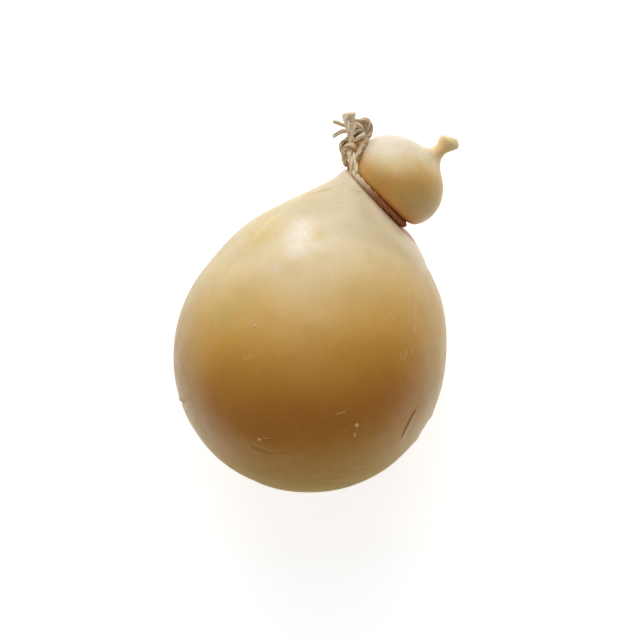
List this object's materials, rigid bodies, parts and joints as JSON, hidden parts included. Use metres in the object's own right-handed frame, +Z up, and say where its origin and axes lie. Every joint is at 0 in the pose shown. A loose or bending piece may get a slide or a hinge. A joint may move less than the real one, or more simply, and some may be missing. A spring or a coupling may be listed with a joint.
{
  "type": "provoleta cheese",
  "caption": "Pear-shaped stretched-curd cheese lying on its side, its small head pinched off by a knotted cord round the neck.",
  "frame": {"origin": "on the table, under the middle of the bounding box of the cheese and its cord", "axes": "+Y from the round base along the body to the head and its stub, +X to the side that the head bends to, +Z up from the table to the side shown"},
  "size_m": [0.13, 0.1862, 0.1282],
  "materials": {
    "rind": "smooth, slightly waxy, half glossy",
    "cord": "dry twisted plant fibre"
  },
  "bodies": {
    "root": {"cheese": "rind", "neck_cord": "cord"}
  },
  "joints": []
}
